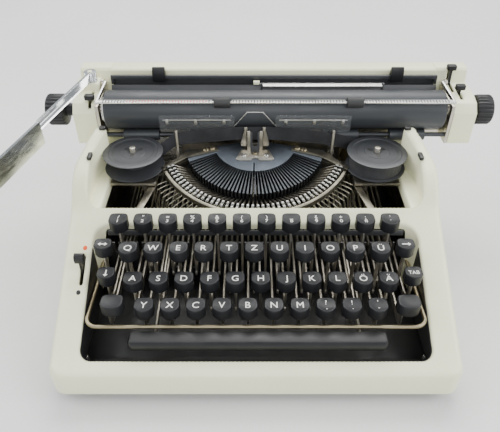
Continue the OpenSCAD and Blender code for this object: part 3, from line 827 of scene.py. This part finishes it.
def type_keys():
    for row, (y, top, first, texts) in ROWS.items():
        caps, legends = bmesh.new(), bmesh.new()
        for i, text in enumerate(texts):
            if row == "home" and i == CENTRE_KEY:
                continue
            cap_mesh(caps, first + i * PITCH, y, top)
            key_legend(legends, text, first + i * PITCH, y, top)
        finish_caps(row + "_key_caps", caps, legends, row + "_row", [row + "_caps"])


def single_keys():
    caps, legends = bmesh.new(), bmesh.new()
    y, top, first, texts = ROWS["home"]
    x = first + CENTRE_KEY * PITCH
    cap_mesh(caps, x, y, top)
    key_legend(legends, texts[CENTRE_KEY], x, y, top)
    finish_caps("centre_key_cap", caps, legends, "centre_key", ["centre_key"])
    levers("centre_key_lever", "centre_key", [x], y, top)
    for body, (x, y, top, mark) in CONTROL_KEYS.items():
        caps, legends = bmesh.new(), bmesh.new()
        cap_mesh(caps, x, y, top, 13.4, 12.2, 1.9, 0.7)
        if mark in ARROWS:
            for shape in ARROWS[mark]:
                extrude(legends, [(x + px, y + py) for px, py in shape], top - 0.65, top - 0.25, plan)
        else:
            legend_mesh(legends, mark, (x, y), (0, 0.2), top, 5.0, 13.4, 0.7, 0.92)
        finish_caps(body + "_cap", caps, legends, body, [body])
        levers(body + "_lever", body, [x], y, top)
    caps = bmesh.new()
    for x in SHIFT_CAPS:
        cap_mesh(caps, x, SHIFT_Y, SHIFT_TOP, 16.6, 13.8, 2.3, 0.8)
    finish_caps("shift_caps", caps, None, "shift_keys", ["shift_keys"])
    levers("shift_levers", "shift_keys", SHIFT_LEVERS, SHIFT_Y, SHIFT_TOP)


def space_bar():
    """The long moulded bar with its crowned top, on two levers."""
    bm = bmesh.new()
    rings = []
    for inset, z in ((1.4, 38.0), (0.5, 38.0), (0.3, 38.5), (0.0, 42.6), (0.2, 43.2), (1.5, 45.3),
                     (2.0, 45.8), (2.8, 46.0)):
        ring = rounded_box(1.5, 23.4, 189 - 2 * inset, 12.8 - 1.4 * inset, max(4.6 - inset, 0.8), 8)
        rings.append([bm.verts.new(at(x, y, z)) for x, y in ring])
    capped(bm, rings)
    finish("space_bar_moulding", bm, "space_bar", "black_plastic", replaces=["space_bar"], angle=25)
    blanked("space_bar_levers", "space_bar", BAR_LEVERS,
            [(21.5, 42), (21.5, 33.5), (26, 31.2)] + axle_eye() + [(30, 37.8), (26.5, 39), (26.5, 42)])


# ---------------- type basket

BAR_COUNT, BAR_PITCH, CENTRE_BAR = 44, 3.0, 21
SEGMENT_R, SHELF_R, INNER_R = 64.0, 38.0, 14
SEGMENT_LOW, SEGMENT_TOP = -48, -26
SLOT_HALF = 0.78                         # half of the gap that a typebar runs in, with its play
BAR_HALF = 0.45
PLATE_TOP = -24.8                        # of the plates screwed on the segment
WIRE_END, CURVED_WIRE_END = 0.054, 0.053  # heights in metres


def fan(i):
    return math.radians((i - (BAR_COUNT - 1) / 2) * BAR_PITCH)


def spoke(r, a, across=0.0):
    """A point at radius r along the fan direction a, shifted sideways."""
    return (r * math.sin(a) + across * math.cos(a), -r * math.cos(a) + across * math.sin(a))


def segment():
    """The slotted half ring: a smooth shelf inside, thin fins between the typebars outside."""
    limit = math.radians(78)
    first, last = fan(0), fan(BAR_COUNT - 1)
    outline = [spoke(INNER_R, -limit), spoke(SEGMENT_R, -limit),
               spoke(SEGMENT_R, first, -SLOT_HALF), spoke(SHELF_R, first, -SLOT_HALF)]
    for i in range(BAR_COUNT):
        if i == CENTRE_BAR:
            outline += [spoke(r, fan(i), side) for r, side in
                        ((SHELF_R, -0.6), (28, -0.6), (28, 0.6), (SHELF_R, 0.6))]
        else:
            outline.append(spoke(SHELF_R, fan(i)))
    outline += [spoke(SHELF_R, last, SLOT_HALF), spoke(SEGMENT_R, last, SLOT_HALF),
                spoke(SEGMENT_R, limit), spoke(INNER_R, limit)]
    outline += [spoke(INNER_R, limit - 2 * limit * k / 24) for k in range(1, 24)]
    plates("segment_casting", "type_basket", "blued_steel", 0.3, in_basket,
           [(outline, SEGMENT_LOW, SEGMENT_TOP)], replaces=["segment"])
    fins = []
    for a, b in zip(map(fan, range(BAR_COUNT)), map(fan, range(1, BAR_COUNT))):
        fin = [spoke(SHELF_R - 0.6, a, SLOT_HALF), spoke(SEGMENT_R, a, SLOT_HALF),
               spoke(SEGMENT_R, b, -SLOT_HALF), spoke(SHELF_R - 0.6, b, -SLOT_HALF)]
        fins.append((fin, SEGMENT_LOW + 0.5, SEGMENT_TOP - 0.05))
    # The fins take the darker steel, painted shade between the typebars.
    plates("segment_fins", "type_basket", "blued_steel", 0.12, in_basket, fins, segments=1, look=SHADED_FIN_STEEL)
    places = [(*spoke(r, math.radians(a)), PLATE_TOP, 2.6, 1.3) for a in (-73, 73) for r in (40, 46)]
    screws("segment_screw_heads", "type_basket", "brass", places, ["segment_screws"])
    brackets = []
    for s in (-1, 1):
        a, b = math.radians(s * 72.6), math.radians(s * 66.0)
        bracket = [spoke(35, a, -3.4), spoke(62, a, -3.4), spoke(88.6, b, -2.0), spoke(88.6, b, 2.6),
                   spoke(64, a, 3.6), spoke(35, a, 3.6)]
        brackets.append((bracket[::s], SEGMENT_TOP, PLATE_TOP))
    plates("segment_brackets", "type_basket", "nickel_steel", 0.3, in_basket, brackets, look=RAIL_STEEL)


def radial(angle):
    """Places points given as (out from the axis, up the axis, across the typebar)."""
    def put(a, b, h):
        return in_basket(*spoke(a, angle, h), b)
    return put


def one_bar(bars, heads, angle):
    """A bent steel bar with its eye, and the type head with its two characters' lobes."""
    put = radial(angle)
    for start, end, width, steps in (((32, -42), (45.9, -52), 2.6, 7), ((45.9, -52), (78, -24.6), 2.5, 7),
                                     ((31.9, -42), (32.1, -42), 4.9, 10)):
        extrude(bars, bar_outline(start, end, width, steps), -BAR_HALF, BAR_HALF, put)
    extrude(heads, [(77.2, -26), (85.4, -26), (85.4, -23.4), (77.2, -23.4)], -0.8, 0.8, put)
    for middle in (79.4, 83.1):
        extrude(heads, rounded_box(middle, -23.85, 4.4, 3.0, 1.4), -1.2, 1.2, put)


def pull_wires():
    """A straight wire under each typebar's bend, and outside the fan a second one that curves down."""
    bm = bmesh.new()
    for i in range(BAR_COUNT):
        if i == CENTRE_BAR:
            continue
        a = fan(i)
        if abs(a) > math.radians(21):
            reach = min(100, 79 / math.cos(a))
            bend = [in_basket(*spoke(r, a), h)
                    for r, h in ((66, -40.5), (reach - 7, -40), (reach - 1.5, -43), (reach, -52))]
            tube(bm, smooth_path(bend + [Vector((*bend[-1].xy, CURVED_WIRE_END))], 0.003), 0.48, 8)
        top = in_basket(*spoke(45.9, a), -53.2)
        base = Vector((*top.xy, WIRE_END))
        tube(bm, [base, base.lerp(top, 0.5), top], 0.45, 8)
    finish("pull_wires", bm, "type_basket", "nickel_steel", look=WIRE_STEEL)


def finish_bars(bar_name, head_name, places, body, replaces):
    bars, heads = bmesh.new(), bmesh.new()
    for i in places:
        one_bar(bars, heads, fan(i))
    finish(bar_name, bars, body, "nickel_steel", 0.15, replaces, 1)
    finish(head_name, heads, body, "nickel_steel", 0.5, segments=3, look=TYPE_STEEL)


def typebars():
    others = [i for i in range(BAR_COUNT) if i != CENTRE_BAR]
    finish_bars("typebar_fan", "type_heads", others, "type_basket", ["typebars"])
    pull_wires()
    finish_bars("centre_bar_steel", "centre_bar_head", [CENTRE_BAR], "centre_typebar", ["centre_typebar"])


def basket_fittings():
    """The type rest, the fulcrum wire and the type guide in front of the platen."""
    softened("type_rest", 0.4, 2, look=RAIL_STEEL)
    softened("fulcrum_wire", 0.1, 1)
    base = [(-17, -24.5), (-14.5, -26), (-4, -26), (-2.6, -23.5), (2.6, -23.5), (4, -26), (14.5, -26),
            (17, -24.5), (12.5, -13), (-12.5, -13)]
    plates("guide_base", "type_basket", "nickel_steel", 0.3, in_basket,
           [(base, SEGMENT_TOP, PLATE_TOP)], replaces=["type_guide"])
    notch_r = 2.3
    plate = [(-5.6, 96.6), (5.6, 96.6), (5.6, 117), (notch_r, 117), (notch_r, 106)]
    plate += [(notch_r * math.cos(a), 105 - notch_r * math.sin(a))
              for a in (math.radians(15 * k) for k in range(1, 12))]
    plate += [(-notch_r, 106), (-notch_r, 117), (-5.6, 117)]
    plates("guide_plate", "type_basket", "slate_paint", 0.2, facing, [(plate, 188.1, 188.9)])
    plates("guide_posts", "type_basket", "nickel_steel", 0.3, facing,
           [(rounded_box(s * 5.4, 107.4, 3.0, 21.6, 1.2), 187.9, 189.3) for s in (-1, 1)])
    screws("guide_screws", "type_basket", "bright_steel",
           [(-10, -20.5, PLATE_TOP, 2.2, 1.2), (10, -20.5, PLATE_TOP, 2.2, 1.2)])
    screws("guide_centre_screw", "type_basket", "brass", [(0, -18, PLATE_TOP, 1.7, 1.0)])


def vibrator_and_guides():
    """The ribbon's lifting fork, and the clear line guides on their bent arms."""
    wing = [(6.6, 102.2), (12.5, 102.2), (12.5, 104.5), (9.4, 116.0), (9.4, 119.0), (6.9, 119.2), (6.6, 118)]
    fork = []
    for s in (-1, 1):
        fork += [([(s * x, z) for x, z in wing], 193.2, 194.0),
                 (rounded_box(s * 9.5, 101.2, 6.0, 2.6, 0.6), 193.2, 197.8)]
    fork += [(rounded_box(0, 101.1, 24.6, 2.5, 0.7), 193.6, 197.8),
             (rounded_box(0, 81, 5, 38, 0.8), 196.7, 198.1)]
    plates("vibrator_stamping", "ribbon_vibrator", "nickel_steel", 0.2, facing, fork,
           replaces=["ribbon_vibrator"])
    clear, metal = bmesh.new(), bmesh.new()
    front, back = 196.0, 196.8
    for s in (-1, 1):
        extrude(clear, rounded_box(s * 51, 121, 66, 16, 2.2), front, back, facing)
        extrude(metal, rounded_box(s * 51, 124.6, 60, 1.3, 0.5), front - 0.3, front + 0.05, facing)
        for x in (27, 52, 77):
            extrude(metal, rounded_box(s * x, 123, 2.6, 5.2, 0.7), front - 0.45, front + 0.05, facing)
        extrude(metal, rounded_box(s * 69, 99.4, 6, 28, 0.8), front, back, facing)
        extrude(metal, bar_outline((s * 20, 116.5), (s * 7, 132), 0.9), front, back, facing)
    tube(metal, [at(-7, 196.4, 132), at(0, 196.4, 132.1), at(7, 196.4, 132)], 0.45)
    finish("line_guide_windows", clear, "frame", "clear_plastic", 0.25, ["line_guides"])
    finish("line_guide_metal", metal, "frame", "bright_steel", 0.12)


# ---------------- ribbon and its spools

SPOOL_X, SPOOL_Y, SPOOL_Z = 105.5, 175, 91
RIBBON_W, RIBBON_T = 13, 0.14


def spool(side, hub, body):
    """A pressed spool with its drive slots drawn as black plates, painted shade for the holes, and the turns
    of ribbon on a hub of the given radius.
    """
    def put(a, b, h):
        return at(side * SPOOL_X + a, SPOOL_Y + b, SPOOL_Z + h)
    bm = bmesh.new()
    turned(bm, [(2.62, 0), (25.0, 0), (25.7, 0.25), (25.8, 0.6), (25.2, 0.8), (hub, 0.8), (hub, 14.1),
                (25.2, 14.1), (25.8, 14.4), (25.7, 14.8), (25.0, 15), (21.4, 15), (20.8, 14.6),
                (11.2, 14.6), (10.4, 15), (3.9, 15), (3.4, 14.5), (2.62, 14.5)], put, 96)
    finish(body + "_flanges", bm, body, "slate_paint", replaces=[body], angle=25)
    bm = bmesh.new()
    # Painted shade: the drive slots are black plates on the flange, standing for the dark through the holes.
    for k in range(3):
        slot = spun(((4.2, -1.7), (8.8, -1.9), (8.8, 1.9), (4.2, 1.7)), math.radians(30 + 120 * k))
        extrude(bm, slot, 14.6, 15.03, put)
    turned(bm, [(17.4, 14.55), (17.9, 14.55), (17.9, 14.64), (17.4, 14.64)], put)
    finish(body + "_marks", bm, body, "black_paint")
    bm = bmesh.new()
    coil = [(hub + (0.5 if k % 2 else 0.35), 1.0 + RIBBON_W * k / 26) for k in range(27)]
    turned(bm, [(hub + 0.1, 1.0)] + coil + [(hub + 0.1, 1.0 + RIBBON_W)], put)
    finish(body + "_ribbon_coil", bm, body, "ribbon_cloth")


def ribbon_half(name, side, near_spool):
    """Half of the inked ribbon, from its spool over the post to the middle of the vibrator."""
    route = near_spool + [(69, 192.35, 101), (42, 193.8, 103.6), (15, 195.1, 105.5), (0, 195.2, 105.5)]
    path = smooth_path([Vector(p) for p in route])
    length = sum(math.hypot(q.x - p.x, q.y - p.y) for p, q in zip(path, path[1:]))

    def rippled(p, w):
        ripple = 0.12 * step_up(p.x, 16, 24) * math.sin(p.x * 0.35 + w)
        return at(side * p.x, p.y + ripple, p.z + w)

    bm = bmesh.new()
    stitch(bm, [[bm.verts.new(rippled(p, RIBBON_W * k / 4)) for p in path] for k in range(5)], closed=False)
    bmesh.ops.recalc_face_normals(bm, faces=bm.faces)
    strip = mesh_piece(name, bm)
    cloth = strip.modifiers.new("cloth", "SOLIDIFY")
    cloth.thickness = RIBBON_T * MM
    cloth.offset = 0
    apply_modifiers(strip)
    smooth(strip, 60)
    strip.data.materials.clear()
    strip.data.materials.append(MATERIALS["ribbon_cloth"])
    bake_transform(strip)
    return strip


def ribbon():
    left = ribbon_half("ribbon_left", -1, [(99, 185.6, 92), (91, 187.5, 92), (83, 189.2, 92.3)])
    ribbon_half("ribbon_right", 1, [(97, 197.8, 92), (90.8, 196.6, 92.2)])
    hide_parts("ribbon")


# ---------------- carriage

CARRIAGE_X, PLATEN_Y, PLATEN_Z = 17.5, 215, 125
CARRIAGE_EDGES = {                       # width of the broken edges of the machined and pressed parts
    "carriage_frame": 0.4, "left_end_cover": 1.2, "right_end_cover": 1.2, "rear_cover": 0.8,
    "paper_table": 0.3, "left_margin_stop": 0.9, "right_margin_stop": 0.9, "platen": 0.9,
    "platen_shaft": 0.3, "feed_roller": 0.5, "bail_rollers": 0.6, "return_lever": 0.7,
    "line_space_lever": 0.6, "paper_release_lever": 0.6, "carriage_release_lever": 0.6,
    "paper_support": 0.3, "paper_bail": 0.2}
LEVER_CAPS = {                           # x from the carriage's middle, y and z of each moulded tip
    "line_space_lever": (-163, 211.5, 138.8), "paper_release_lever": (161.5, 244, 151.9),
    "carriage_release_lever": (166, 224.2, 142.2)}
TICKS, TICK_PITCH, FIRST_TICK, RED_TICKS = 115, 2.6, -148, range(8, 35)
BAIL_ROLLER_X = (-46, 68.5)


def knob(body, outer, inner, r, hub_end):
    """A fluted platen knob between two distances from the carriage's middle, with its hub inside."""
    way = 1 if outer < 0 else -1

    def put(a, b, h):
        return at(CARRIAGE_X + h, PLATEN_Y + a, PLATEN_Z + b)

    bm = bmesh.new()
    turned(bm, [(0.01, outer), (6, outer), (6.6, outer + way * 0.8), (9.4, outer + way * 0.8),
                (10.4, outer), (r - 1.6, outer), (r - 0.4, outer + way * 0.7), (r, outer + way * 1.8),
                (r, inner - way * 1.6), (r - 0.6, inner - way * 0.4), (r - 2, inner), (5.5, inner),
                (5.5, hub_end), (0.01, hub_end)], put, 144, 24, 0.7)
    finish(body + "_moulding", bm, "platen", "black_plastic", replaces=[body], angle=40)


def carriage():
    for node, width in CARRIAGE_EDGES.items():
        softened(node, width, 3)
    softened("margin_rail", 0.25, 2, slot="slate_paint")
    back = [(246.05, 131), (246.7, 131), (246.7, 141.4), (246.05, 141.4)]
    plates("paper_table_back", "carriage", "slate_paint", 0.2, sideways,
           [(back, CARRIAGE_X - 149, CARRIAGE_X + 149)])
    knob("left_knob", -202, -186, 14, -179)
    knob("right_knob", 193, 179, 13.2, 178.6)
    plates("paper_table_tab", "carriage", "cream_paint", 0.4, plan,
           [(rounded_box(CARRIAGE_X - 15.9, 238.4, 5.6, 3.6, 0.6), 138.2, 141.2)])
    for body, (x, y, z) in LEVER_CAPS.items():
        plates(body + "_cap", body, "black_plastic", 0.8, plan,
               [(rounded_box(CARRIAGE_X + x, y, 8.5, 6, 1.6), z - 2.2, z + 2.2)])
    scale_marks()


def scale_marks():
    """Character ticks along the bail, none under its rollers: some red near the start, the others dark."""
    red, dark = [], []
    for i in range(TICKS):
        x = FIRST_TICK + i * TICK_PITCH
        if min(abs(x - roller) for roller in BAIL_ROLLER_X) < 9.5:
            continue
        tick = rounded_box(CARRIAGE_X + x, 198.3, 0.85, 3.8 if i % 5 else 4.8, 0.05, 1)
        (red if i in RED_TICKS else dark).append((tick, 141.55, 141.64))
    plates("bail_scale_dark", "paper_bail", "black_paint", 0, plan, dark)
    plates("bail_scale_red", "paper_bail", "black_paint", 0, plan, red, look=SCALE_RED)


# ---------------- the frame's other parts

FRAME_EDGES = {                          # width of the broken edges
    "base_pan": 0.8, "rubber_feet": 0.8, "case_screws": 0.4, "chassis": 0.5, "carriage_rail": 0.5,
    "key_lever_axle": 0.2, "spool_brackets": 0.4, "bell": 0.3, "escapement_wheel": 0.2,
    "spring_drum": 0.5, "ribbon_selector": 0.5, "number_levers": 0.2, "upper_levers": 0.2,
    "home_levers": 0.2, "lower_levers": 0.2}
# How far back and how low the black sheet of painted shade inside the keyboard opening reaches.
SHADE_SHEET_BACK, SHADE_SHEET_LOW = 92, 21
COMB_HALF, LANE_HALF = 137.8, 1.35


def selector_mark(name, x, y, r, look=None):
    """A painted dot on the slope of the deck, by the ribbon selector."""
    bm = bmesh.new()
    rings = []
    for k, h in ((1, -0.2), (1, 0.04), (0.85, 0.12), (0.01, 0.13)):
        around = [spun([(k * r, 0)], 2 * math.pi * j / 24)[0] for j in range(24)]
        rings.append([bm.verts.new(at(x + px, y + py, profile(y + py) + h)) for px, py in around])
    stitch(bm, rings)
    finish(name, bm, "frame", "black_paint", look=look)


def casing_marks():
    """The colour selector's marks, the latch lugs for the ribbon cover at the arms' tips, and black boxes in
    the arms' inner rims, painted shade for the notches there.
    """
    selector_mark("selector_mark_upper", -133, 88.5, 1.7, MARK_ORANGE)
    selector_mark("selector_mark_lower", -134, 57, 1.7)
    lugs = []
    # At the arms' tips the latch lugs; in the arms' inner rims black boxes, painted shade for the notches
    # there.
    for s in (-1, 1):
        lugs += [(rounded_box(s * 131.5, 186.4, 5.5, 4.4, 1.0), 121.2, 123.6),
                 (rounded_box(s * 137.6, 157, 3.4, 9, 0.8), 111.4, 114.2)]
    plates("cover_lugs", "frame", "black_paint", 0.3, plan, lugs)


def keyboard_frame():
    """The bent rod round the levers, and the dark comb that spaces them."""
    path = [(-125.5, 112), (-125.5, 44)]
    for k in range(10):
        px, py = spun([(-9, 0)], math.radians(10 * k))[0]
        path.append((-116.5 + px, 41.5 + py))
    path += [(0, 32.5)]
    path += [(-x, y) for x, y in reversed(path[:-1])]
    bm = bmesh.new()
    tube(bm, [at(x, y, 46) for x, y in path], 1.5, 16)
    finish("keyboard_rod", bm, "frame", "brass", replaces=["keyboard_frame"], angle=60)
    lanes = [key[0] for key in CONTROL_KEYS.values()] + [*SHIFT_LEVERS, *BAR_LEVERS]
    for _, _, first, texts in ROWS.values():
        lanes += [first + i * PITCH for i in range(len(texts))]
    edges = [-COMB_HALF] + [x + s * LANE_HALF for x in sorted(lanes) for s in (-1, 1)] + [COMB_HALF]
    teeth = [(x0, x1, 27, 56.5) for x0, x1 in zip(edges[::2], edges[1::2]) if x1 - x0 > 0.1]
    plates("lever_comb", "frame", "black_paint", 0.2, facing,
           [([(x0, low), (x1, low), (x1, high), (x0, high)], 112, 114)
            for x0, x1, low, high in teeth + [(-COMB_HALF, COMB_HALF, 12.5, 28)]])


def well_lining():
    """A black sheet over the keyboard opening's walls, painted shade where their cream lies in shadow, and a
    dark strip at the folded lip under the bridge, painted shade for the shadow line below it.
    """
    loop = keyboard_outline()
    start = next(i for i, p in enumerate(loop) if p.x < 0 and p.y < SHADE_SHEET_BACK <= loop[i - 1].y)
    chain = [p for p in loop[start:] + loop[:start] if p.y < SHADE_SHEET_BACK]
    bm, rings = bmesh.new(), []
    for k, p in enumerate(chain):
        along = (chain[min(k + 1, len(chain) - 1)] - chain[max(k - 1, 0)]).normalized()
        inward = Vector((-along.y, along.x))
        high = profile(p.y) - SHEET
        rings.append([bm.verts.new(at(*(p + inward * off), z))
                      for off, z in ((0.3, SHADE_SHEET_LOW), (0.3, high), (0.7, high), (0.7, SHADE_SHEET_LOW))])
    capped(bm, rings)
    # Painted shade: black over the walls' cream, where they lie in shadow.
    finish("well_lining", bm, "frame", "black_paint")
    # Painted shade: a dark slate strip below the bridge's cream lip, for the shadow line under it.
    plates("bridge_lip", "frame", "slate_paint", 0.3, sideways,
           [([(103.2, 72.5), (104.4, 72.5), (104.4, 77.4), (103.2, 77.4)], -118, 118)])


def frame_parts():
    for node, width in FRAME_EDGES.items():
        softened(node, width, 2)
    keyboard_frame()
    well_lining()
    plates("ribbon_feelers", "frame", "nickel_steel", 0.3, plan,
           [(bar_outline((s * 88, 160), (s * 96, 124), 6.0), 81.2, 82.2) for s in (-1, 1)], look=RAIL_STEEL)


for name, node in frame["nodes"].items():
    node.data.materials.clear()
    node.data.materials.append(MATERIALS[SLOT[name]])

camera()
studio()
casing()
type_keys()
single_keys()
space_bar()
segment()
typebars()
basket_fittings()
vibrator_and_guides()
spool(-1, 9, "left_spool")
spool(1, 22, "right_spool")
ribbon()
carriage()
casing_marks()
frame_parts()
